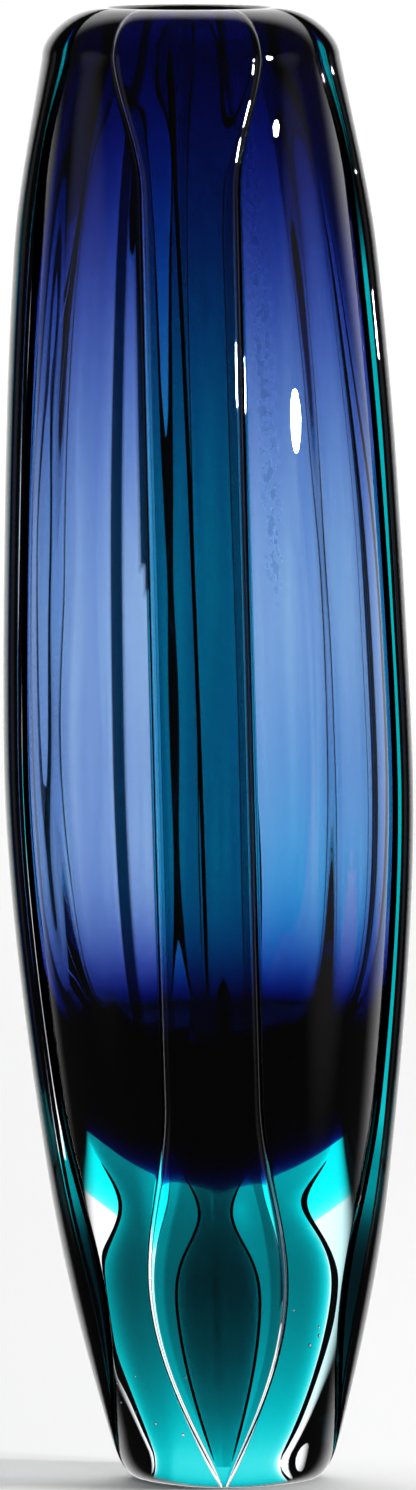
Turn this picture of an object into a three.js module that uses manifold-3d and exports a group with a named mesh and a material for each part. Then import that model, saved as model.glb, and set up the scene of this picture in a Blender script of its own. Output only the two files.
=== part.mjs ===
// Hand-blown cased glass vase: a violet cup inside a teal cup inside a clear body, with four applied ribs.
// Millimetres, +Z up, origin at the centre of the flat foot.
// Azimuths run from the front (-Y) towards the right side (+X).

import * as THREE from 'three';
import { LoftGeometry } from 'three/addons/geometries/LoftGeometry.js';
import { mergeVertices } from 'three/addons/utils/BufferGeometryUtils.js';
import Module from 'manifold-3d';

const wasm = await Module();
wasm.setup();

// Outer form of the clear body, between the ribs
const height = 300;
const bellyRadius = 38.4;
const bellyHeight = 145;
const footRadius = 17; // flat ground face
const heelRadius = 22.3; // where the rolled heel meets the wall
const heelHeight = 7;
const heelFlare = 0.195; // slope of the wall just above the heel
const lipRadius = 28.8; // where the rolled lip meets the wall
const lipRound = 10; // height of the rolled lip
const crownRadius = 17.5; // highest ring of the lip
const shoulderSlope = 0.18; // slope of the wall just below the lip
const faceFlat = 0.075; // how far the middle of each face is drawn in, as a share of the radius
const lipFlat = 0.02; // the same at the lip, which is rounder
const roundingLength = 60; // over which the faces turn round towards the lip
const leanAngle = THREE.MathUtils.degToRad( 1.45 ); // the axis leans to the left

// Walls and bottoms of the layers
const bodyWall = 2.9; // clear glass outside the teal
const tealWall = 1.2;
const violetWall = 1.4; // at the belly
const baseThickness = 47.5; // clear glass under the teal, on the axis
const tealBottom = 13.5;
const violetBottom = 27;
const bowlRise = 22; // from the middle of a cup's underside to its wall
const bowlFlat = 2; // radius of the flat spot in the middle of an underside
const clearance = 0.3; // between any two pieces

// Cavity
const mouthRadius = 14;
const mouthRound = 5;
const floorRadius = 14; // nearly flat part of the cavity floor
const floorCrown = 0.5;
const floorCorner = 2; // height of the handle that rounds the floor into the wall
const neckLength = 33; // the narrow part below the mouth
const neckRadius = 27; // where the neck opens into the cavity

// Ribs
const ribHalfWidth = 9.9;
const ribStand = 3.2; // above the body, along the middle
const ribSeat = 1.2; // depth of the groove that it is bedded in
const ribTip = 2; // height of its pointed lower end
const leafHalfWidth = 14.1;
const leafHeight = 44; // where the leaf-shaped lower end is widest
const leafTop = 80; // where the leaf has narrowed to the rib
const risingHeight = 60; // where the rib reaches its full stand
const flareHalfWidth = 15.4;
const flareLength = 26; // spread of the rib into the lip
const flareStand = 1.4;
const flareRun = 39; // over which the stand sinks to that
const flareOverlap = 3.5; // how far the rib climbs onto the rolled lip
const ribs = { // azimuth of each, in degrees, going round
	front_rib: - 1.5,
	right_rib: 97,
	back_rib: 182,
	left_rib: 268
};

// Handles of the wall's curves, as shares of the stretch or the radius that they shape
const lowerHandle = 0.35;
const underBelly = 0.28;
const upperHandle = 0.28;
const overBelly = 0.17;
const bowlWide = 0.9;
const bowlDeep = 0.62;
const cavityWide = 0.88;
const cavityDeep = 0.4;
const neckHandle = 0.43;
const seatWide = 0.8; // of the rib's half angle
const ribSquareness = 0.8; // exponent of the rib's section: 1 is an ellipse, and less is squarer

// Facets
const columns = 40;
const wallRows = 9;
const curveRows = 5;
const ribRows = 24;
const domePoints = 8;
const seatPoints = 4;
const silhouettePoints = 60;
const mergeDistance = 1e-4;

// the axis leans by sliding each level sideways, so the foot and the lip stay level
const lean = new THREE.Matrix4().makeShear( 0, 0, 0, 0, - Math.tan( leanAngle ), 0 );

const lipHeight = height - lipRound;
const tealFloor = baseThickness;
const violetFloor = tealFloor + tealBottom;
const cavityFloor = violetFloor + violetBottom;

// Profiles are curves of (radius, height) points

const heel = new THREE.QuadraticBezierCurve(
	new THREE.Vector2( footRadius, 0 ),
	new THREE.Vector2( heelRadius - heelFlare * heelHeight, 0 ),
	new THREE.Vector2( heelRadius, heelHeight )
);
const lowerLength = bellyHeight - heelHeight;
const lowerReach = lowerLength * lowerHandle;
const lowerWall = new THREE.CubicBezierCurve(
	new THREE.Vector2( heelRadius, heelHeight ),
	new THREE.Vector2( heelRadius + heelFlare * lowerReach, heelHeight + lowerReach ),
	new THREE.Vector2( bellyRadius, bellyHeight - lowerLength * underBelly ),
	new THREE.Vector2( bellyRadius, bellyHeight )
);
const upperLength = lipHeight - bellyHeight;
const upperReach = upperLength * upperHandle;
const upperWall = new THREE.CubicBezierCurve(
	new THREE.Vector2( bellyRadius, bellyHeight ),
	new THREE.Vector2( bellyRadius, bellyHeight + upperLength * overBelly ),
	new THREE.Vector2( lipRadius + shoulderSlope * upperReach, lipHeight - upperReach ),
	new THREE.Vector2( lipRadius, lipHeight )
);

function lipCurve( fromRadius, toRadius ) {

	// the outer quarter of the rolled lip, between two radii
	const spread = lipRadius - crownRadius;
	const from = Math.acos( ( fromRadius - crownRadius ) / spread );
	const to = Math.acos( ( toRadius - crownRadius ) / spread );
	return new THREE.EllipseCurve( crownRadius, lipHeight, spread, lipRound, from, to );

}

const bodySilhouette = [ heel, lowerWall, upperWall, lipCurve( lipRadius, crownRadius ) ]
	.flatMap( ( curve ) => curve.getPoints( silhouettePoints ) );

function bodyRadius( z ) {

	const above = bodySilhouette.findIndex( ( point ) => point.y >= z );
	if ( above <= 0 ) return bodySilhouette.at( above ).x;
	const low = bodySilhouette[ above - 1 ];
	const high = bodySilhouette[ above ];
	return THREE.MathUtils.mapLinear( z, low.y, high.y, low.x, high.x );

}

function cupWall( floor, inset ) {

	// the outside of a cup: a bowl-shaped underside, then a wall that follows the body up to the lip
	const wallStart = floor + bowlRise;
	const wallRadius = bodyRadius( wallStart ) - inset;
	const bowl = new THREE.QuadraticBezierCurve(
		new THREE.Vector2( bowlFlat, floor ),
		new THREE.Vector2( wallRadius * bowlWide, floor + bowlRise * bowlDeep ),
		new THREE.Vector2( wallRadius, wallStart )
	);
	const points = bowl.getPoints( curveRows );
	for ( let row = 1; row <= wallRows; row ++ ) {

		const z = THREE.MathUtils.lerp( wallStart, lipHeight, row / wallRows );
		points.push( new THREE.Vector2( bodyRadius( z ) - inset, z ) );

	}

	const top = lipRadius - inset;
	const rim = lipCurve( top, crownRadius ).getPoint( 0 );
	return [ ...points, rim ];

}

function cavityWall() {

	// from the floor of the cavity up through its neck and mouth to the crown of the lip
	const bellyInside = bellyRadius - bodyWall - tealWall - violetWall;
	const mouthHeight = height - mouthRound;
	const bowl = new THREE.CubicBezierCurve(
		new THREE.Vector2( floorRadius, cavityFloor + floorCrown ),
		new THREE.Vector2( bellyInside * cavityWide, cavityFloor + floorCorner ),
		new THREE.Vector2( bellyInside, THREE.MathUtils.lerp( cavityFloor, bellyHeight, cavityDeep ) ),
		new THREE.Vector2( bellyInside, bellyHeight )
	);
	const neck = new THREE.CubicBezierCurve(
		new THREE.Vector2( bellyInside, bellyHeight ),
		new THREE.Vector2( bellyInside, THREE.MathUtils.lerp( bellyHeight, mouthHeight, neckHandle ) ),
		new THREE.Vector2( neckRadius, mouthHeight - neckLength ),
		new THREE.Vector2( mouthRadius, mouthHeight )
	);
	const mouth = new THREE.EllipseCurve(
		crownRadius, mouthHeight, crownRadius - mouthRadius, mouthRound, Math.PI, Math.PI / 2, true
	);
	return [
		new THREE.Vector2( bowlFlat, cavityFloor ),
		...bowl.getPoints( wallRows ),
		...neck.getPoints( wallRows ).slice( 1 ),
		...mouth.getPoints( curveRows ).slice( 1 )
	];

}

function between( azimuth ) {

	// 0 over a rib and 1 in the middle of the face between two ribs
	const turn = 2 * Math.PI;
	const centres = Object.values( ribs ).map( THREE.MathUtils.degToRad );
	const from = ( azimuth - centres[ 0 ] + turn ) % turn + centres[ 0 ];
	const next = centres.findIndex( ( centre ) => centre > from );
	const high = next > 0 ? centres[ next ] : centres[ 0 ] + turn;
	const low = next > 0 ? centres[ next - 1 ] : centres.at( - 1 );
	return Math.sin( Math.PI * ( from - low ) / ( high - low ) ) ** 2;

}

function squared( azimuth, z ) {

	// the share of its radius that a level keeps at an azimuth: less in the middle of each face
	const rounding = THREE.MathUtils.smoothstep( z, lipHeight - roundingLength, lipHeight );
	return 1 - THREE.MathUtils.lerp( faceFlat, lipFlat, rounding ) * between( azimuth );

}

function around( radius, azimuth, z ) {

	return new THREE.Vector3( radius * Math.sin( azimuth ), - radius * Math.cos( azimuth ), z );

}

function blown( profile ) {

	// a closed solid of level rings, one for each point of a profile that runs upwards
	const sections = profile.map( ( point ) => {

		const ring = [];
		for ( let column = 0; column < columns; column ++ ) {

			const azimuth = 2 * Math.PI * column / columns;
			ring.push( around( point.x * squared( azimuth, point.y ), azimuth, point.y ) );

		}

		return ring;

	} );
	return new LoftGeometry( sections, { capStart: true, capEnd: true } ).applyMatrix4( lean );

}

function hollow( outside, inside ) {

	// a cup: its outer form less the form that it holds, which runs on past the rim
	const rim = inside.at( - 1 );
	const through = new THREE.Vector2( rim.x, height + clearance );
	return solid( blown( outside ) ).subtract( solid( blown( [ ...inside, through ] ) ) );

}

function clearBody() {

	const inside = cupWall( tealFloor - clearance, bodyWall - clearance );
	const outside = [
		...heel.getPoints( curveRows ),
		...lowerWall.getPoints( wallRows ).slice( 1 ),
		...upperWall.getPoints( wallRows ).slice( 1 ),
		...lipCurve( lipRadius, inside.at( - 1 ).x ).getPoints( curveRows ).slice( 1 )
	];
	return hollow( outside, inside );

}

function tealCup() {

	return hollow(
		cupWall( tealFloor, bodyWall ),
		cupWall( violetFloor - clearance, bodyWall + tealWall - clearance )
	);

}

function violetCup() {

	const outside = cupWall( violetFloor, bodyWall + tealWall );
	const overLip = lipCurve( outside.at( - 1 ).x, crownRadius ).getPoints( curveRows ).slice( 1 );
	return hollow( [ ...outside, ...overLip ], cavityWall() );

}

function ribWidthAt( z ) {

	// half width: a pointed leaf at the foot, a plain rib, then a flare into the lip
	if ( z < leafHeight ) return leafHalfWidth * Math.sin( Math.PI / 2 * z / leafHeight );
	const leaf = 1 - THREE.MathUtils.smoothstep( z, leafHeight, leafTop );
	const flare = THREE.MathUtils.smoothstep( z, lipHeight - flareLength, lipHeight + flareOverlap );
	const leafSpread = leaf * ( leafHalfWidth - ribHalfWidth );
	const flareSpread = flare * ( flareHalfWidth - ribHalfWidth );
	return ribHalfWidth + leafSpread + flareSpread;

}

function ribStandAt( z ) {

	const rise = Math.sin( Math.PI / 2 * Math.min( 1, z / risingHeight ) );
	const flare = THREE.MathUtils.smoothstep( z, lipHeight - flareRun, lipHeight );
	return THREE.MathUtils.lerp( ribStand * rise, flareStand, flare );

}

function ribSection( z, azimuth, growth, level ) {

	// a half-round dome over an arc that is sunk into the body; growth moves the whole outline outwards
	const radius = bodyRadius( z );
	const halfWidth = ribWidthAt( z );
	const halfAngle = Math.asin( halfWidth / radius );
	const edge = radius * squared( azimuth + halfAngle, z );
	const chord = edge * Math.cos( halfAngle ) - growth;
	const rise = radius + ribStandAt( z ) + growth - chord;
	const section = [];
	for ( let step = 0; step <= domePoints; step ++ ) {

		const turn = THREE.MathUtils.lerp( - Math.PI / 2, Math.PI / 2, step / domePoints );
		const across = ( halfWidth + growth ) * Math.sign( turn ) * Math.abs( Math.sin( turn ) ) ** ribSquareness;
		const out = chord + rise * Math.max( 0, Math.cos( turn ) ) ** ribSquareness;
		section.push( around( Math.hypot( across, out ), azimuth + Math.atan2( across, out ), level ) );

	}

	const seatAngle = halfAngle * seatWide + growth / radius;
	for ( let step = 0; step < seatPoints; step ++ ) {

		const turn = THREE.MathUtils.lerp( seatAngle, - seatAngle, step / ( seatPoints - 1 ) );
		const seat = radius * squared( azimuth + turn, z ) - ribSeat - growth;
		section.push( around( seat, azimuth + turn, level ) );

	}

	return section;

}

function rib( azimuthDegrees, growth ) {

	const azimuth = THREE.MathUtils.degToRad( azimuthDegrees );
	const top = lipHeight + flareOverlap;
	const sections = [];
	for ( let row = 0; row <= ribRows; row ++ ) {

		const z = THREE.MathUtils.lerp( ribTip, top, row / ribRows );
		const level = z + growth * ( row === ribRows ? 1 : row === 0 ? - 1 : 0 );
		sections.push( ribSection( z, azimuth, growth, level ) );

	}

	return new LoftGeometry( sections, { capStart: true, capEnd: true } ).applyMatrix4( lean );

}

function solid( geometry ) {

	// a manifold-3d solid, without the repeated vertices and empty triangles of a loft
	const plain = new THREE.BufferGeometry();
	plain.setAttribute( 'position', geometry.getAttribute( 'position' ) );
	plain.setIndex( geometry.getIndex() );
	const merged = mergeVertices( plain, mergeDistance );
	const corners = merged.getIndex().array;
	const triangles = [];
	for ( let i = 0; i < corners.length; i += 3 ) {

		const [ a, b, c ] = corners.subarray( i, i + 3 );
		if ( a !== b && b !== c && c !== a ) triangles.push( a, b, c );

	}

	return new wasm.Manifold( new wasm.Mesh( {
		numProp: 3,
		vertProperties: merged.getAttribute( 'position' ).array,
		triVerts: new Uint32Array( triangles )
	} ) );

}

function surface( manifold ) {

	const mesh = manifold.getMesh();
	const geometry = new THREE.BufferGeometry();
	geometry.setAttribute( 'position', new THREE.BufferAttribute( mesh.vertProperties, 3 ) );
	geometry.setIndex( new THREE.BufferAttribute( mesh.triVerts, 1 ) );
	geometry.computeVertexNormals();
	return geometry;

}

const violetGlass = new THREE.MeshStandardMaterial( { color: 0x3b3a8c, roughness: 0.05, metalness: 0 } );
const tealGlass = new THREE.MeshStandardMaterial( { color: 0x0c8f8e, roughness: 0.05, metalness: 0 } );
const clearGlass = new THREE.MeshStandardMaterial( { color: 0xd3dbe0, roughness: 0.04, metalness: 0 } );
const ribGlass = new THREE.MeshStandardMaterial( { color: 0x2a7f96, roughness: 0.04, metalness: 0 } );

const vase = new THREE.Group();

function add( name, geometry, material ) {

	const mesh = new THREE.Mesh( geometry, material );
	mesh.name = name;
	vase.add( mesh );

}

let body = clearBody();
for ( const [ name, azimuth ] of Object.entries( ribs ) ) {

	add( name, rib( azimuth, 0 ), ribGlass );
	body = body.subtract( solid( rib( azimuth, clearance ) ) );

}

add( 'clear_body', surface( body ), clearGlass );
add( 'teal_cup', surface( tealCup() ), tealGlass );
add( 'violet_cup', surface( violetCup() ), violetGlass );

export default vase;
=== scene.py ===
# Hand-blown cased glass vase with four applied ribs, in a pale studio.
import bpy
import bmesh
import math
from bisect import bisect_left
from mathutils import Matrix, Vector, noise
from mathutils.geometry import interpolate_bezier


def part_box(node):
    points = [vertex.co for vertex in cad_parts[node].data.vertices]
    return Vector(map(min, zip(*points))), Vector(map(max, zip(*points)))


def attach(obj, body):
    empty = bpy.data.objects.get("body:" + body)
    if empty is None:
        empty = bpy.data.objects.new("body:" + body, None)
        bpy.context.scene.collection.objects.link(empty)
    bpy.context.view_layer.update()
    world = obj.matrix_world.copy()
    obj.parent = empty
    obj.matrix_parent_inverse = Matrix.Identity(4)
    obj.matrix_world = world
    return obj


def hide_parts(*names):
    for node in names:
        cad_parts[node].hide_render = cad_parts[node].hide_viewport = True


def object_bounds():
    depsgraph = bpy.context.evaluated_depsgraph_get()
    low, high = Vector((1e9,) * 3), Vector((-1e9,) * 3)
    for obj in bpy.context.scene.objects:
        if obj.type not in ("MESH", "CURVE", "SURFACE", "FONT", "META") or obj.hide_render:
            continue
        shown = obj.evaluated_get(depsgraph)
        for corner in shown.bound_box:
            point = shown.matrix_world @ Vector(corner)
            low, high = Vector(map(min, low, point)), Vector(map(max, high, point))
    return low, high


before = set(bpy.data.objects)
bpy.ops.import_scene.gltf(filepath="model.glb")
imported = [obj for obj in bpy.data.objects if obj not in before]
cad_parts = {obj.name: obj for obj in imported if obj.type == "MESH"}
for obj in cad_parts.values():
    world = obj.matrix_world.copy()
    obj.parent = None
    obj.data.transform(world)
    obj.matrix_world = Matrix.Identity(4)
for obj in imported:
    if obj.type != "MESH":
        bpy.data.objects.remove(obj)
cadBox = [list(corner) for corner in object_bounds()]
mm = 0.001
turn = 2 * math.pi
nearby = 0.02 * mm  # points of a profile that are closer than this count as one
print("vase: packed frame loaded")

# the blown form, between the ribs
blown = {
    "height": cadBox[1][2],
    "belly": 38.4 * mm,
    "bellyHeight": 145 * mm,
    "foot": 17 * mm,  # the ground flat
    "heel": 22.3 * mm,
    "heelHeight": 7 * mm,
    "heelFlare": 0.195,
    "lip": 28.8 * mm,
    "lipRound": 10 * mm,
    "crown": 17.5 * mm,  # highest ring of the lip
    "shoulderSlope": 0.18,
    "lean": math.tan(math.radians(1.45)),
    "faceFlat": 0.075,  # how far the middle of each face is drawn in
    "lipFlat": 0.02,
    "rounding": 60 * mm,  # over which the faces turn round towards the lip
    "lowerHandle": 0.35,  # handles of the curves, as shares of the stretch that they shape
    "underBelly": 0.28,
    "upperHandle": 0.28,
    "overBelly": 0.17,
    "waveSize": 22 * mm,
    "waveDepth": 0.18 * mm,
    "waveStretch": 0.4,  # waves are longer up the vase than round it
    "underside": 0.6,  # share of the foot's radius where its flat has one more ring
    "skinDepth": 1 * mm,  # points this close to the outside belong to it
    "rows": {"heel": 12, "wall": 64, "measured": 80, "lip": 22},
}
lipHeight = blown["height"] - blown["lipRound"]
walls = {
    "clear": 2.9 * mm,
    "teal": 1.2 * mm,
    "violet": 1.4 * mm,
    "tealFloor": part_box("teal_cup")[0][2],
    "violetFloor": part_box("violet_cup")[0][2],
    "bowlRise": 22 * mm,
    "bowlWide": 0.9,
    "bowlDeep": 0.62,
    "bowlRows": 20,
    "rows": 60,
    "skinGap": 0.12 * mm,  # the coloured glass stays this far inside the bare surfaces
}
cavity = {
    "floorHeight": walls["violetFloor"] + 27 * mm,
    "floor": 14 * mm,
    "corner": 2 * mm,
    "wide": 0.88,
    "deep": 0.4,
    "mouth": 14 * mm,
    "mouthRound": 5 * mm,
    "belly": blown["belly"] - walls["clear"] - walls["teal"] - walls["violet"],
    "neck": 27 * mm,
    "neckLength": 33 * mm,
    "flutes": [(9, 0.30 * mm, 0.7), (14, 0.18 * mm, 2.0)],  # count, depth and phase of each set
    "neckHandle": 0.43,
    "floorCrown": 0.5 * mm,
    "floorHandles": (0.6, 0.3),  # shares of the floor's radius
    "smoothFrom": 40 * mm,  # below the lip: the flutes fade out between these two depths
    "smoothTo": 8 * mm,
    "stillRadius": 18 * mm,  # and towards the middle of the floor
    "waveSize": 15 * mm,
    "waveDepth": 0.3 * mm,
    "rows": {"skin": 44, "gather": 60, "mouth": 12, "floor": 8},
}
ribs = {
    "azimuths": [math.radians(a) for a in (-1.5, 97, 182, 268)],
    "names": ["frontRib", "rightRib", "backRib", "leftRib"],
    "nodes": ["front_rib", "right_rib", "back_rib", "left_rib"],
    "halfWidth": 9.9 * mm,
    "stand": 3.2 * mm,
    "leafHalfWidth": 14.1 * mm,
    "leafHeight": 44 * mm,
    "leafTip": 0.02,  # share of that height over which its point is blunt
    "leafTop": 80 * mm,
    "rising": 60 * mm,
    "flareHalfWidth": 15.4 * mm,
    "flareLength": 26 * mm,
    "flareOverlap": 3.5 * mm,
    "flareStand": 1.4 * mm,
    "flareRun": 39 * mm,
    "squareness": 0.8,  # of the section: 1 is an ellipse, and less is squarer
    "toe": 0.05 * mm,  # the fillet of glass that runs out onto the body
    "toeLength": 0.8 * mm,
}


def smoothstep(low, high, value):
    t = min(1, max(0, (value - low) / (high - low)))
    return t * t * (3 - 2 * t)


def mix(a, b, t):
    return a + (b - a) * t


# profiles are runs of points (radius, 0, height)
def bezier(start, handle, otherHandle, end, count):
    points = [Vector((r, 0, z)) for r, z in (start, handle, otherHandle, end)]
    return interpolate_bezier(*points, count)


def bowed(start, handle, end, count):
    first = (mix(start[0], handle[0], 2 / 3), mix(start[1], handle[1], 2 / 3))
    second = (mix(end[0], handle[0], 2 / 3), mix(end[1], handle[1], 2 / 3))
    return bezier(start, first, second, end, count)


def quarter(centre, spread, rise, fromAngle, toAngle, count):
    angles = [mix(fromAngle, toAngle, i / (count - 1)) for i in range(count)]
    return [Vector((centre[0] + spread * math.cos(a), 0, centre[1] + rise * math.sin(a))) for a in angles]


def joined(*runs):
    points = list(runs[0])
    for run in runs[1:]:
        points += [p for p in run if (p - points[-1]).length > nearby]
    return points


def outsideProfile(rows):
    heel = (blown["heel"], blown["heelHeight"])
    belly = (blown["belly"], blown["bellyHeight"])
    lip = (blown["lip"], lipHeight)
    lower = belly[1] - heel[1]
    upper = lip[1] - belly[1]
    flare, slope = blown["heelFlare"], blown["shoulderSlope"]
    lowerHandle, upperHandle = blown["lowerHandle"], blown["upperHandle"]
    underHandle = (heel[0] + flare * lowerHandle * lower, heel[1] + lowerHandle * lower)
    overHandle = (lip[0] + slope * upperHandle * upper, lip[1] - upperHandle * upper)
    heelHandle = (heel[0] - flare * heel[1], 0)
    crown = (blown["crown"], lipHeight)
    lipSpread = blown["lip"] - blown["crown"]
    return joined(
        bowed((blown["foot"], 0), heelHandle, heel, blown["rows"]["heel"]),
        bezier(heel, underHandle, (belly[0], belly[1] - blown["underBelly"] * lower), belly, rows),
        bezier(belly, (belly[0], belly[1] + blown["overBelly"] * upper), overHandle, lip, rows),
        quarter(crown, lipSpread, blown["lipRound"], 0, turn / 4, blown["rows"]["lip"]),
    )


silhouette = outsideProfile(blown["rows"]["measured"])
silhouetteHeights = [p.z for p in silhouette]


def bodyRadius(z):
    i = min(max(bisect_left(silhouetteHeights, z), 1), len(silhouette) - 1)
    low, high = silhouette[i - 1], silhouette[i]
    return mix(low.x, high.x, min(1, max(0, (z - low.z) / max(high.z - low.z, 1e-9))))


# height of the rolled lip over a radius
def lipTop(radius):
    across = (radius - blown["crown"]) / (blown["lip"] - blown["crown"])
    return lipHeight + blown["lipRound"] * math.sqrt(max(0, 1 - across * across))


# from the crown of the lip down to the middle of the floor; inset moves it into the glass
def cavityProfile(rows, inset):
    mouthTop = blown["height"] - cavity["mouthRound"]
    crown, mouth = blown["crown"], cavity["mouth"] + inset
    belly = (cavity["belly"] + inset, blown["bellyHeight"])
    floor = cavity["floorHeight"] - inset
    corner = (cavity["floor"] + inset, floor + cavity["floorCrown"])
    handles = [(corner[0] * share, floor) for share in cavity["floorHandles"]]
    mouthCurve = (crown - mouth, cavity["mouthRound"] - inset)
    neckHandle = (cavity["neck"] + inset, mouthTop - cavity["neckLength"])
    return joined(
        quarter((crown, mouthTop), *mouthCurve, turn / 4, turn / 2, cavity["rows"]["mouth"]),
        bezier(
            (mouth, mouthTop),
            neckHandle,
            (belly[0], mix(belly[1], mouthTop, cavity["neckHandle"])),
            belly,
            rows,
        ),
        bezier(
            belly,
            (belly[0], mix(floor, belly[1], cavity["deep"])),
            (belly[0] * cavity["wide"], floor + cavity["corner"]),
            corner,
            rows,
        ),
        bezier(corner, *handles, (0, floor), cavity["rows"]["floor"]),
    )


# the outside of a gather, from the middle of its underside up to just under the lip
def cupProfile(floor, inset, rows):
    start = floor + walls["bowlRise"]
    radius = bodyRadius(start) - inset
    levels = [mix(start, lipHeight, i / rows) for i in range(rows + 1)]
    wall = [Vector((bodyRadius(z) - inset, 0, z)) for z in levels]
    top = wall[-1].x
    handle = (radius * walls["bowlWide"], floor + walls["bowlRise"] * walls["bowlDeep"])
    underside = bowed((0, floor), handle, (radius, start), walls["bowlRows"])
    return joined(underside, wall, [Vector((top, 0, lipTop(top) - 2 * walls["skinGap"]))])


def ribHalfWidth(z):
    if z < ribs["leafHeight"]:
        return ribs["leafHalfWidth"] * math.sin(turn / 4 * max(ribs["leafTip"], z / ribs["leafHeight"]))
    leaf = 1 - smoothstep(ribs["leafHeight"], ribs["leafTop"], z)
    flare = smoothstep(lipHeight - ribs["flareLength"], lipHeight + ribs["flareOverlap"], z)
    plain = ribs["halfWidth"]
    return plain + (ribs["leafHalfWidth"] - plain) * leaf + (ribs["flareHalfWidth"] - plain) * flare


def ribStand(z):
    rise = math.sin(turn / 4 * min(1, max(0, z / ribs["rising"])))
    flare = smoothstep(lipHeight - ribs["flareRun"], lipHeight, z)
    stand = mix(ribs["stand"] * rise, ribs["flareStand"], flare)
    return stand * (1 - smoothstep(lipHeight, blown["height"], z))


def ribHalfAngle(z):
    z = min(z, lipHeight)
    return math.asin(ribHalfWidth(z) / bodyRadius(z))


# the share of its radius that a level keeps at an azimuth: less in the middle of each face
def squared(azimuth, z):
    centres = ribs["azimuths"] + [ribs["azimuths"][0] + turn]
    at = (azimuth - centres[0]) % turn + centres[0]
    face = max(0, bisect_left(centres, at) - 1)
    between = math.sin(math.pi * (at - centres[face]) / (centres[face + 1] - centres[face])) ** 2
    rounding = smoothstep(lipHeight - blown["rounding"], lipHeight, z)
    return 1 - mix(blown["faceFlat"], blown["lipFlat"], rounding) * between


# radius and azimuth offset of the rib's surface, from its left edge (-1) to its right edge (1)
def ribDome(rib, z, fraction):
    radius = bodyRadius(z)
    halfAngle = ribHalfAngle(z)
    edge = radius * squared(ribs["azimuths"][rib] + halfAngle, z)
    chord = edge * math.cos(halfAngle)
    angle = fraction * turn / 4
    side = abs(math.sin(angle)) ** ribs["squareness"]
    top = max(0, math.cos(angle)) ** ribs["squareness"]
    across = radius * math.sin(halfAngle) * math.copysign(side, fraction)
    out = chord + (radius + ribStand(z) - chord) * top
    return math.hypot(across, out), math.atan2(across, out)


def around(radius, azimuth, z):
    return Vector((radius * math.sin(azimuth) - z * blown["lean"], -radius * math.cos(azimuth), z))


# a level has eight runs of columns: each rib, then the face to its right
columnsPerRun = 40
columns = 8 * columnsPerRun


def columnPlace(co):
    azimuth = math.atan2(co.x, -co.y) % turn
    column = round(azimuth / turn * columns) + columnsPerRun // 2
    run, step = divmod(column % columns, columnsPerRun)
    return run // 2, run % 2 == 0, step / columnsPerRun


def faceAzimuth(rib, fraction, halfAngle):
    here = ribs["azimuths"][rib]
    there = ribs["azimuths"][(rib + 1) % 4] + (turn if rib == 3 else 0)
    return mix(here + halfAngle, there - halfAngle, fraction)


def waver(co, size, amount):
    return amount * noise.noise(Vector((co.x, co.y, co.z * blown["waveStretch"])) / size)


def outsidePoint(co):
    rib, onRib, fraction = columnPlace(co)
    plain = math.hypot(co.x, co.y)
    z = co.z
    halfAngle = ribHalfAngle(z)
    if onRib:
        radius, offset = ribDome(rib, z, 2 * fraction - 1)
        radius += plain - bodyRadius(z)
        azimuth = ribs["azimuths"][rib] + offset
        toe = 0
    else:
        azimuth = faceAzimuth(rib, fraction, halfAngle)
        radius = plain * squared(azimuth, z)
        left = azimuth - faceAzimuth(rib, 0, halfAngle)
        right = faceAzimuth(rib, 1, halfAngle) - azimuth
        toe = ribs["toe"] * math.exp(-min(left, right) * plain / ribs["toeLength"])
    radius += toe * min(1, ribStand(z) / ribs["stand"])
    still = smoothstep(lipHeight, blown["height"], z)
    radius += waver(around(radius, azimuth, z), blown["waveSize"], blown["waveDepth"]) * (1 - still)
    return around(radius, azimuth, z)


def insidePoint(co):
    rib, onRib, fraction = columnPlace(co)
    z = co.z
    halfAngle = ribHalfAngle(blown["height"])
    if onRib:
        azimuth = ribs["azimuths"][rib] + mix(-halfAngle, halfAngle, fraction)
    else:
        azimuth = faceAzimuth(rib, fraction, halfAngle)
    radius = math.hypot(co.x, co.y) * squared(azimuth, z)
    top = blown["height"]
    deep = 1 - smoothstep(top - cavity["smoothFrom"], top - cavity["smoothTo"], z)
    away = smoothstep(0, cavity["stillRadius"], radius)
    flutes = sum(depth * math.cos(count * azimuth + phase) for count, depth, phase in cavity["flutes"])
    wave = waver(around(radius, azimuth, z), cavity["waveSize"], cavity["waveDepth"])
    radius += (flutes + wave) * deep * away
    return around(radius, azimuth, z)


def finishedMesh(name, bm):
    for face in bm.faces:
        face.smooth = True
    mesh = bpy.data.meshes.new(name)
    bm.to_mesh(mesh)
    bm.free()
    piece = bpy.data.objects.new(name, mesh)
    bpy.context.scene.collection.objects.link(piece)
    return piece


# spins a profile about the axis, then gives each side its shape; also says which points are outside
# and which get painted shade along a crease
def turnedMesh(profile, isOutside):
    bm = bmesh.new()
    verts = [bm.verts.new(p) for p in profile]
    edges = [bm.edges.new(pair) for pair in zip(verts, verts[1:])]
    bmesh.ops.spin(bm, geom=verts + edges, axis=(0, 0, 1), angle=turn, steps=columns, use_merge=True)
    bmesh.ops.remove_doubles(bm, verts=bm.verts, dist=1e-6)
    bmesh.ops.recalc_face_normals(bm, faces=bm.faces)
    outside = [isOutside(v.co) for v in bm.verts]
    low = film["creaseShadeLow"]
    creaseShades = [creaseShadeAt(v.co) if out and v.co.z > low else 0 for v, out in zip(bm.verts, outside)]
    for v, out in zip(bm.verts, outside):
        v.co = outsidePoint(v.co) if out else insidePoint(v.co)
    return bm, outside, creaseShades


def addNode(tree, kind, **values):
    node = tree.nodes.new("ShaderNode" + kind)
    for key, value in values.items():
        setattr(node, key, value)
    return node


patterns = {  # stretch up the vase, scale and detail of each
    "Streaks": (0.04, 190, 3),
    "Waves": (0.35, 42, 1),
    "Specks": (0.6, 900, 4),
}


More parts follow.
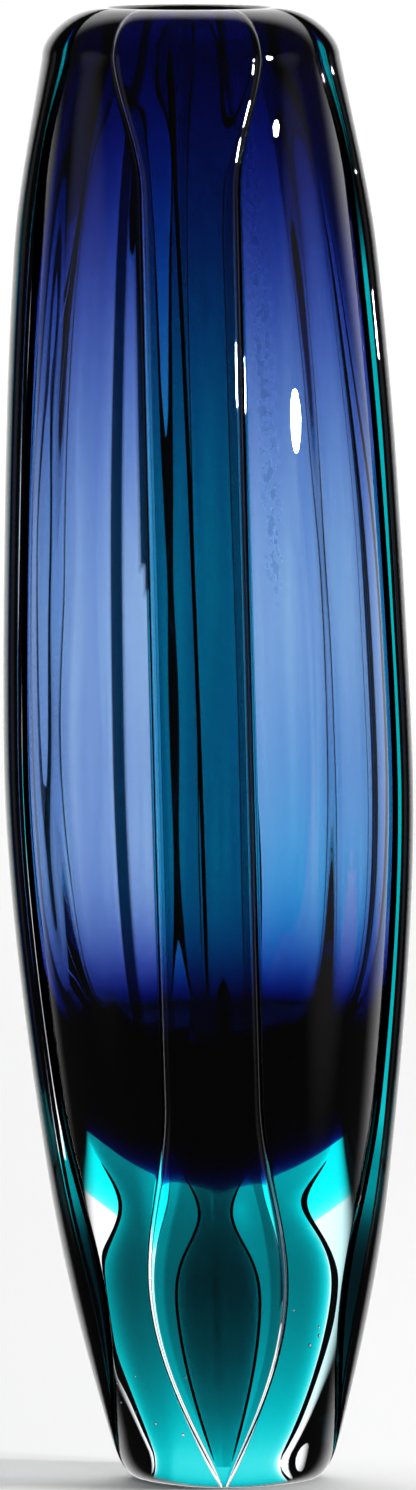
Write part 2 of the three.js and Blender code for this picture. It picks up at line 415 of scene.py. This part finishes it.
# streaks drawn up the glass and the slow waves of hand work, in the object's own coordinates
def makeStreaks():
    group = bpy.data.node_groups.new("glassStreaks", "ShaderNodeTree")
    for name in patterns:
        group.interface.new_socket(name, in_out="OUTPUT", socket_type="NodeSocketFloat")
    result = group.nodes.new("NodeGroupOutput")
    place = addNode(group, "TexCoord")
    for name, (stretch, scale, detail) in patterns.items():
        drawn = addNode(group, "Mapping")
        drawn.inputs["Scale"].default_value = (1, 1, stretch)
        pattern = addNode(group, "TexNoise")
        pattern.inputs["Scale"].default_value = scale
        pattern.inputs["Detail"].default_value = detail
        group.links.new(place.outputs["Object"], drawn.inputs["Vector"])
        group.links.new(drawn.outputs[0], pattern.inputs["Vector"])
        group.links.new(pattern.outputs[0], result.inputs[name])
    return group


streaks = makeStreaks()
glasses = {
    "clearGlass": {"ior": 1.5, "full": (0.96, 0.985, 1)},
    "violetGlass": {"ior": 1.0, "full": (0.86, 0.85, 0.97), "absorb": (0.12, 0.2, 0.64), "density": 500},
    "tealGlass": {"ior": 1.0, "full": (0.9, 0.97, 0.97), "absorb": (0.1, 0.975, 0.98), "density": 200},
    "ribGlass": {"ior": 1.0, "full": (0.9, 0.94, 0.95), "absorb": (0, 0.86, 0.87), "density": 2400},
    # dark threads; along the rib creases they are painted shade
    "threadAndCreaseShadeGlass": {"ior": 1.0, "full": (0.8, 0.8, 0.85), "absorb": (0, 0.1, 0.3), "density": 24000},
}
finish = {
    "pale": (1, 1, 1),
    "streakLow": 0.35,
    "streakHigh": 0.65,
    # painted light: an azure glow low on the cavity's right side
    "paintedGlowAzure": (0.08, 0.92, 1),
    # painted shade: near black drawn along the front rib's creases
    "creaseShadeColour": (0, 0.004, 0.01),
    "mottleLow": 0.42,
    "mottleHigh": 0.62,
    "mottleRoughness": 0.55,
    "bumpStrength": 0.12,
    "bumpDistance": 1 * mm,
}


def glassMaterial(name):
    kind = glasses[name]
    material = bpy.data.materials.new(name)
    material.use_nodes = True
    tree = material.node_tree
    shader = tree.nodes["Principled BSDF"]
    shader.inputs["Roughness"].default_value = 0.0
    shader.inputs["IOR"].default_value = kind["ior"]
    shader.inputs["Transmission Weight"].default_value = 1
    pattern = addNode(tree, "Group", node_tree=streaks)
    tint = addNode(tree, "Mix", data_type="RGBA")
    tint.inputs["A"].default_value = (*finish["pale"], 1)
    tint.inputs["B"].default_value = (*kind["full"], 1)
    spread = addNode(tree, "MapRange", interpolation_type="SMOOTHSTEP")
    spread.inputs["From Min"].default_value = finish["streakLow"]
    spread.inputs["From Max"].default_value = finish["streakHigh"]
    tree.links.new(pattern.outputs["Streaks"], spread.inputs["Value"])
    tree.links.new(spread.outputs[0], tint.inputs["Factor"])
    tree.links.new(tint.outputs["Result"], shader.inputs["Base Color"])
    if "absorb" in kind:
        volume = addNode(tree, "VolumeAbsorption")
        volume.inputs["Color"].default_value = (*kind["absorb"], 1)
        volume.inputs["Density"].default_value = kind["density"]
        tree.links.new(volume.outputs[0], tree.nodes["Material Output"].inputs["Volume"])
    return material


materials = {name: glassMaterial(name) for name in glasses}


# the skin also has a lime film on its cavity, a painted azure glow low on its cavity's right side,
# painted shade along the front rib's creases, waves outside, and a ground foot
def finishSkinMaterial():
    tree = materials["clearGlass"].node_tree
    shader = tree.nodes["Principled BSDF"]
    pattern = next(node for node in tree.nodes if node.type == "GROUP")
    tint = next(node for node in tree.nodes if node.type == "MIX")
    # painted light: an azure glow mixed into the colour low on the cavity's right side
    paintedGlow = addNode(tree, "Attribute", attribute_name="paintedGlow")
    paintedGlowAzure = addNode(tree, "Mix", data_type="RGBA")
    paintedGlowAzure.inputs["B"].default_value = (*finish["paintedGlowAzure"], 1)
    tree.links.new(paintedGlow.outputs["Fac"], paintedGlowAzure.inputs["Factor"])
    tree.links.new(tint.outputs["Result"], paintedGlowAzure.inputs["A"])
    # painted shade: near black mixed into the colour along the front rib's creases
    creaseShade = addNode(tree, "Attribute", attribute_name="creaseShade")
    dark = addNode(tree, "Mix", data_type="RGBA")
    dark.inputs["B"].default_value = (*finish["creaseShadeColour"], 1)
    tree.links.new(creaseShade.outputs["Fac"], dark.inputs["Factor"])
    tree.links.new(paintedGlowAzure.outputs["Result"], dark.inputs["A"])
    tree.links.new(dark.outputs["Result"], shader.inputs["Base Color"])
    film = addNode(tree, "Attribute", attribute_name="film")
    mottle = addNode(tree, "MapRange", interpolation_type="SMOOTHSTEP")
    mottle.inputs["From Min"].default_value = finish["mottleLow"]
    mottle.inputs["From Max"].default_value = finish["mottleHigh"]
    mottle.inputs["To Max"].default_value = finish["mottleRoughness"]
    patchy = addNode(tree, "Math", operation="MULTIPLY")
    tree.links.new(pattern.outputs["Specks"], mottle.inputs["Value"])
    tree.links.new(mottle.outputs[0], patchy.inputs[0])
    tree.links.new(film.outputs["Fac"], patchy.inputs[1])
    tree.links.new(patchy.outputs[0], shader.inputs["Roughness"])
    bump = addNode(tree, "Bump")
    bump.inputs["Strength"].default_value = finish["bumpStrength"]
    bump.inputs["Distance"].default_value = finish["bumpDistance"]
    tree.links.new(pattern.outputs["Waves"], bump.inputs["Height"])
    tree.links.new(bump.outputs[0], shader.inputs["Normal"])


finishSkinMaterial()


def fit(piece, material, node):
    piece.data.materials.append(materials[material])
    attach(piece, "root")
    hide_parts(node)


def onOutside(co):
    radius = math.hypot(co.x, co.y)
    depth = blown["skinDepth"]
    onWall = radius > bodyRadius(co.z) - depth and radius > blown["crown"] + nearby / 2
    return onWall or co.z < depth


# the lime film, a painted azure glow low in the cavity, and painted shade along the front rib's creases
film = {
    "azimuth": math.radians(26),
    "spread": math.radians(5),
    "low": 165 * mm,
    "high": 280 * mm,
    "paintedGlowLow": 100 * mm,
    "paintedGlowHigh": 175 * mm,
    "footRoughness": 0.6,
    "creaseShadeStart": 0.79,  # how far across a rib, of its half width in columns
    "creaseShadeLow": 2 * mm,
    "lowFade": 30 * mm,
    "highFade": 12 * mm,
    "paintedGlowShare": 0.12,  # that the painted glow keeps above its height
    "paintedGlowLeft": -8 * mm,
    "paintedGlowRight": 14 * mm,
    "groundBelow": 0.05 * mm,
}
seeds = {
    "count": 30,
    "smallest": 0.16 * mm,
    "largest": 0.42 * mm,
    "golden": 2.39996,  # angle between one seed and the next
    "steps": (0.618034, 0.381966, 0.7548),  # spread heights, depths and sizes evenly
    "inRibs": (100 * mm, 285 * mm),
    "inFoot": (9 * mm, 42 * mm),
    "depths": (0.35, 0.85),  # shares of the radius, in the foot
    "ribDepth": 0.35,
    "sideways": 0.12,
    "stretch": 1.6,
}


# small bubbles: their surfaces face the air that they hold
def addSeeds(bm):
    for i in range(seeds["count"]):
        share, depth, grade = ((i * step) % 1 for step in seeds["steps"])
        index = i % 4
        if i % 2:
            z = mix(*seeds["inRibs"], share)
            radius = bodyRadius(z) + seeds["ribDepth"] * ribStand(z)
            azimuth = ribs["azimuths"][index] + seeds["sideways"] * math.sin(seeds["golden"] * i)
        else:
            z = mix(*seeds["inFoot"], share)
            radius = bodyRadius(z) * mix(*seeds["depths"], depth)
            azimuth = seeds["golden"] * i
        size = mix(seeds["smallest"], seeds["largest"], grade ** 2)
        longer = Matrix.Diagonal((1, 1, seeds["stretch"], 1))
        place = Matrix.Translation(around(radius, azimuth, z)) @ longer
        made = bmesh.ops.create_icosphere(bm, subdivisions=2, radius=size, matrix=place)
        faces = {face for v in made["verts"] for face in v.link_faces}
        bmesh.ops.reverse_faces(bm, faces=list(faces))


# painted shade: the dark line where the front rib meets the body
def creaseShadeAt(co):
    rib, onRib, fraction = columnPlace(co)
    atEdge = abs(2 * fraction - 1) > film["creaseShadeStart"] if onRib else fraction == 0
    return 1 if rib == 0 and atEdge else 0


# stores the lime film, the painted azure glow and the painted crease shade as attributes of the skin
def paintSkin(piece, inside, creaseShades):
    mesh = piece.data
    filmValues, paintedGlowValues = [], []
    for i, v in enumerate(mesh.vertices):
        x, y, z = v.co
        azimuth = math.atan2(x + z * blown["lean"], -y)
        within = inside[i] if i < len(inside) else 0
        rising = smoothstep(film["low"], film["low"] + film["lowFade"], z)
        ends = rising * (1 - smoothstep(film["high"] - film["highFade"], film["high"], z))
        filmValues.append(within * ends * math.exp(-((azimuth - film["azimuth"]) / film["spread"]) ** 2))
        # painted light: the azure glow is strongest low down and on the right side
        lower = 1 - smoothstep(film["paintedGlowLow"], film["paintedGlowHigh"], z)
        onRight = smoothstep(film["paintedGlowLeft"], film["paintedGlowRight"], x)
        paintedGlowValues.append(within * mix(film["paintedGlowShare"], 1, lower) * onRight)
        if z < film["groundBelow"]:
            filmValues[i] = film["footRoughness"]
    creaseShades += [0] * (len(mesh.vertices) - len(creaseShades))
    for name, values in (("film", filmValues), ("paintedGlow", paintedGlowValues), ("creaseShade", creaseShades)):
        mesh.attributes.new(name, "FLOAT", "POINT").data.foreach_set("value", values)


def makeSkin():
    underside = [Vector((0, 0, 0)), Vector((blown["foot"] * blown["underside"], 0, 0))]
    wall = outsideProfile(blown["rows"]["wall"])
    profile = joined(underside, wall, cavityProfile(cavity["rows"]["skin"], 0))
    bm, outside, creaseShades = turnedMesh(profile, onOutside)
    addSeeds(bm)
    skin = finishedMesh("glassBody", bm)
    paintSkin(skin, [0 if out else 1 for out in outside], creaseShades)
    fit(skin, "clearGlass", "clear_body")


def makeGather(colour, floor, inset, inner):
    bm = turnedMesh(joined(cupProfile(floor, inset, walls["rows"]), inner), lambda co: False)[0]
    piece = finishedMesh(colour + "Gather", bm)
    fit(piece, colour + "Glass", colour + "_cup")


# the tinted ribbon inside a rib: a narrow dark leaf at the foot, then a wedge, thicker on its right side
ribbon = {
    "low": 5 * mm,
    "high": lipHeight + 4 * mm,
    "levels": 110,
    "across": 32,
    "share": 1.08,  # of the rib's width
    "leafShare": 0.60,
    "waist": 58 * mm,
    "waistLength": 9 * mm,
    "left": 0.55 * mm,
    "right": 2.7 * mm,
    "depth": 0.6 * mm,  # below the body's surface at its edges
    "seat": 0.4 * mm,
    "sideThickness": 0.3,  # share kept along the middle of the two side ribs
    "sideWidth": 0.15,
    "leafSeat": 4.6 * mm,  # the leaf is bedded deeper
    "shareRun": 20 * mm,
    "waistDepth": 0.62,
    "thinBetween": (50 * mm, 75 * mm, 245 * mm, 270 * mm),  # side ribs: where it thins, then thickens
    "leastSwell": 0.1,
    "edgePower": 6,
    "stepFrom": -0.2,  # across, where the thickness grows from the left to the right value
}


def ribbonHalfWidth(z):
    above = smoothstep(ribs["leafHeight"], ribs["leafTop"] + ribbon["shareRun"], z)
    share = mix(ribbon["leafShare"], ribbon["share"], above)
    waist = 1 - ribbon["waistDepth"] * math.exp(-((z - ribbon["waist"]) / ribbon["waistLength"]) ** 2)
    return ribHalfWidth(min(z, lipHeight)) * share * waist


def makeRibbon(index):
    bm = bmesh.new()
    onSide = index % 2 == 1
    across = ribbon["across"]
    thinFrom, thinTo, thickFrom, thickTo = ribbon["thinBetween"]
    rings = []
    for level in range(ribbon["levels"] + 1):
        z = mix(ribbon["low"], ribbon["high"], level / ribbon["levels"])
        middle = smoothstep(thinFrom, thinTo, z) * (1 - smoothstep(thickFrom, thickTo, z)) * onSide
        halfWidth = ribbonHalfWidth(z) * mix(1, ribbon["sideWidth"], middle)
        base = bodyRadius(z)
        swell = min(1, ribStand(min(z, lipHeight)) / ribs["stand"] + ribbon["leastSwell"])
        swell *= mix(1, ribbon["sideThickness"], middle)
        above = smoothstep(ribs["leafHeight"], ribs["leafTop"], z)
        seat = mix(ribbon["leafSeat"] * swell, ribbon["seat"], above)
        ring = []
        for side in (1, -1):
            for i in range(across):
                u = side * mix(-1, 1, i / across)
                edge = math.sqrt(max(0, 1 - u ** ribbon["edgePower"]))
                step = smoothstep(ribbon["stepFrom"], 0, u)
                thickness = mix(ribbon["left"], ribbon["right"], step) * edge * swell
                azimuth = ribs["azimuths"][index] + math.asin(max(-1, min(1, u * halfWidth / base)))
                height = (thickness if side > 0 else -seat * edge) - ribbon["depth"]
                ring.append(bm.verts.new(around(base * squared(azimuth, z) + height, azimuth, z)))
        rings.append(ring)
    for low, high in zip(rings, rings[1:]):
        for i in range(len(low)):
            bm.faces.new((low[i - 1], low[i], high[i], high[i - 1]))
    bm.faces.new(rings[0][::-1])
    bm.faces.new(rings[-1])
    bmesh.ops.remove_doubles(bm, verts=bm.verts, dist=1e-6)
    bmesh.ops.recalc_face_normals(bm, faces=bm.faces)
    piece = finishedMesh(ribs["names"][index] + "Ribbon", bm)
    fit(piece, "ribGlass", ribs["nodes"][index])


# dark threads: the seam along a rib, painted shade along its two creases, and the outline of the leaf
# inside its foot
threads = {
    "sides": 8,
    "levels": 90,
    "seam": {
        "low": 96 * mm,
        "high": lipHeight + 3 * mm,
        "width": 0.42 * mm,
        "depth": 0.75 * mm,
        "above": 1.5 * mm,
    },
    # painted shade: dark threads laid along a rib's two creases
    "creaseShade": {
        "low": 3 * mm,
        "high": lipHeight + 2 * mm,
        "width": 0.5 * mm,
        "depth": 0.5 * mm,
        "above": 0.4 * mm,
    },
    "leaf": {
        "low": 6 * mm,
        "high": 66 * mm,
        "width": 0.32 * mm,
        "depth": 0.5 * mm,
        "above": 0.2 * mm,
    },
    "seamLow": -0.3 * mm,
    "seamHigh": -3.4 * mm,
    "seamOpening": 2.2,  # how much wider it is at the lip
    "openFrom": 0.86,
    "creaseShadeShare": 0.965,  # of the rib's half width
    "leafShare": 0.97,  # of the ribbon's half width
    "taper": 10,  # how quickly a thread thins out at its ends
    "blunt": 0.02,
    "aboveShare": 0.5,  # of the rib's stand
    "depthShare": 0.3,
    "leastDepth": 0.15 * mm,
}


# how far across the rib a thread lies
def threadOffset(name, side, along, z):
    if name == "seam":
        return mix(threads["seamLow"], threads["seamHigh"], along * along)
    if name == "creaseShade":
        return side * threads["creaseShadeShare"] * ribHalfWidth(min(z, lipHeight))
    return side * threads["leafShare"] * ribbonHalfWidth(z)


def addThread(bm, index, name, side):
    kind = threads[name]
    opens = threads["seamOpening"] if name == "seam" else 0
    sides, levels = threads["sides"], threads["levels"]
    rings = []
    for level in range(levels + 1):
        along = level / levels
        z = mix(kind["low"], kind["high"], along)
        stand = ribStand(min(z, lipHeight))
        fromEnd = min(along, 1 - along)
        taper = math.sqrt(min(1, threads["taper"] * fromEnd + threads["blunt"]))
        offset = threadOffset(name, side, along, z)
        edge = bodyRadius(z) * squared(ribs["azimuths"][index] + offset / bodyRadius(z), z)
        radius = edge + min(kind["above"], threads["aboveShare"] * stand)
        azimuth = ribs["azimuths"][index] + math.asin(offset / edge)
        deep = min(kind["depth"], threads["leastDepth"] + threads["depthShare"] * stand) * taper
        opening = 1 + opens * smoothstep(threads["openFrom"], 1, along)
        wide = kind["width"] * taper * opening / radius
        angles = [turn * i / sides for i in range(sides)]
        ring = [around(radius + deep * math.sin(a), azimuth + wide * math.cos(a), z) for a in angles]
        rings.append([bm.verts.new(co) for co in ring])
    for low, high in zip(rings, rings[1:]):
        for i in range(sides):
            bm.faces.new((low[i - 1], low[i], high[i], high[i - 1]))
    bm.faces.new(rings[0][::-1])
    bm.faces.new(rings[-1])


def makeThreads(index):
    bm = bmesh.new()
    addThread(bm, index, "seam", 1)
    for side in (-1, 1):
        addThread(bm, index, "creaseShade", side)
        addThread(bm, index, "leaf", side)
    bmesh.ops.recalc_face_normals(bm, faces=bm.faces)
    piece = finishedMesh(ribs["names"][index] + "ThreadsAndCreaseShade", bm)
    fit(piece, "threadAndCreaseShadeGlass", ribs["nodes"][index])


makeSkin()
gap = walls["skinGap"]
violetInset = walls["clear"] + walls["teal"]
lipRun = [mix(blown["lip"] - violetInset, blown["crown"], i / 8) for i in range(9)]
overLip = [Vector((r, 0, lipTop(r) - gap)) for r in lipRun]
violetInner = joined(overLip, cavityProfile(cavity["rows"]["gather"], gap)[1:])
makeGather("violet", walls["violetFloor"], violetInset, violetInner)
tealInner = cupProfile(walls["violetFloor"] - gap, violetInset - gap, walls["rows"])[::-1]
makeGather("teal", walls["tealFloor"], walls["clear"], tealInner)
print("vase: glass made")
for index in range(4):
    makeRibbon(index)
    makeThreads(index)
print("vase: ribs made")


studio = {
    "lens": 400,
    "sensor": 36,
    "clipEnd": 100,
    "targetX": -3.8 * mm,
    "halfFrame": 151.5 * mm,
    "elevation": 4.5,
    "floorSize": 12,
    "floorRoughness": 0.9,
    "floorMottle": 3,
    "floorTones": (0.89, 0.91),
    "base": 0.04,  # of the world, all round
    "behind": (0.45, 0.78, 1.32),  # share of the way back at which the glow starts, is full; its strength
    "aside": (0.96, 0.995, 0.2),
    "lightDistance": 1.2,
    "keyLight": {"azimuth": 81, "elevation": 5.9, "size": (0.12, 0.03), "power": 14},
    "highLight": {"azimuth": 72, "elevation": 14.5, "size": (0.1, 0.03), "power": 5},
    "sweep": {"back": 6.1, "height": 2.4, "size": (4, 12), "power": 235},
    "bounces": 40,
    "seeThrough": 16,
}


def makeCamera():
    data = bpy.data.cameras.new("camera")
    camera = bpy.data.objects.new("camera", data)
    bpy.context.scene.collection.objects.link(camera)
    data.lens = studio["lens"]
    data.clip_end = studio["clipEnd"]
    target = Vector((studio["targetX"], 0, blown["height"] / 2))
    distance = studio["halfFrame"] * data.lens / (studio["sensor"] / 2)
    elevation = math.radians(studio["elevation"])
    back = Vector((0, -math.cos(elevation), math.sin(elevation)))
    camera.location = target + back * distance
    camera.rotation_mode = "QUATERNION"
    camera.rotation_quaternion = (-back).to_track_quat("-Z", "Y")
    bpy.context.scene.camera = camera


def makeStage():
    bm = bmesh.new()
    bmesh.ops.create_grid(bm, x_segments=1, y_segments=1, size=studio["floorSize"])
    floor = finishedMesh("floor", bm)
    material = bpy.data.materials.new("paleFloor")
    material.use_nodes = True
    shader = material.node_tree.nodes["Principled BSDF"]
    shader.inputs["Roughness"].default_value = studio["floorRoughness"]
    tree = material.node_tree
    place = addNode(tree, "TexCoord")
    mottle = addNode(tree, "TexNoise")
    mottle.inputs["Scale"].default_value = studio["floorMottle"]
    shade = addNode(tree, "Mix", data_type="RGBA")
    for socket, tone in zip("AB", studio["floorTones"]):
        shade.inputs[socket].default_value = (tone, tone, tone, 1)
    tree.links.new(place.outputs["Object"], mottle.inputs["Vector"])
    tree.links.new(mottle.outputs[0], shade.inputs["Factor"])
    tree.links.new(shade.outputs["Result"], shader.inputs["Base Color"])
    floor.data.materials.append(material)
    # the glass doesn't see it, so that no horizon bends across the vase
    floor.visible_transmission = False
    floor.visible_glossy = False


# bright behind the vase and dim in front of it, as in front of a lit sweep
def makeWorld():
    world = bpy.data.worlds.new("studio")
    world.use_nodes = True
    tree = world.node_tree
    direction = addNode(tree, "TexCoord")
    parts = addNode(tree, "SeparateXYZ")
    side = addNode(tree, "Math", operation="ABSOLUTE")
    tree.links.new(direction.outputs["Generated"], parts.inputs[0])
    tree.links.new(parts.outputs["X"], side.inputs[0])
    glow = addNode(tree, "Value").outputs[0]
    glow.default_value = studio["base"]
    for source, name in ((parts.outputs["Y"], "behind"), (side.outputs[0], "aside")):
        ramp = addNode(tree, "MapRange", interpolation_type="SMOOTHSTEP")
        for socket, value in zip(("From Min", "From Max", "To Max"), studio[name]):
            ramp.inputs[socket].default_value = value
        total = addNode(tree, "Math")
        tree.links.new(source, ramp.inputs["Value"])
        tree.links.new(ramp.outputs[0], total.inputs[0])
        tree.links.new(glow, total.inputs[1])
        glow = total.outputs[0]
    path = addNode(tree, "LightPath")
    seen = addNode(tree, "Math", operation="MAXIMUM")
    background = tree.nodes["Background"]
    background.inputs["Color"].default_value = (1, 1, 1, 1)
    tree.links.new(glow, seen.inputs[0])
    tree.links.new(path.outputs["Is Camera Ray"], seen.inputs[1])
    tree.links.new(seen.outputs[0], background.inputs["Strength"])
    bpy.context.scene.world = world


def areaLight(name, place, aim, kind, shape="ELLIPSE"):
    data = bpy.data.lights.new(name, "AREA")
    data.shape = shape
    data.size, data.size_y = kind["size"]
    data.energy = kind["power"]
    light = bpy.data.objects.new(name, data)
    bpy.context.scene.collection.objects.link(light)
    light.location = place
    light.rotation_mode = "QUATERNION"
    light.rotation_quaternion = (aim - place).to_track_quat("-Z", "Y")
    light.visible_camera = False
    light.visible_transmission = False
    return light


# a point at an azimuth and elevation from the middle of the vase
def aroundVase(azimuth, elevation, distance):
    a, e = math.radians(azimuth), math.radians(elevation)
    way = Vector((math.sin(a) * math.cos(e), -math.cos(a) * math.cos(e), math.sin(e)))
    return Vector((0, 0, blown["height"] / 2)) + way * distance


makeCamera()
makeStage()
makeWorld()
middle = aroundVase(0, 0, 0)
for name in ("keyLight", "highLight"):
    kind = studio[name]
    place = aroundVase(kind["azimuth"], kind["elevation"], studio["lightDistance"])
    areaLight(name, place, middle, kind)
sweep = studio["sweep"]
overFloor = Vector((0, sweep["back"], sweep["height"]))
sweepLight = areaLight("sweepLight", overFloor, Vector((0, sweep["back"], 0)), sweep, "RECTANGLE")
sweepLight.visible_glossy = False
scene = bpy.context.scene
scene.view_settings.view_transform = "Standard"
scene.cycles.max_bounces = studio["bounces"]
scene.cycles.transmission_bounces = studio["bounces"]
scene.cycles.transparent_max_bounces = studio["seeThrough"]
scene.cycles.use_denoising = True
print("vase: studio made")
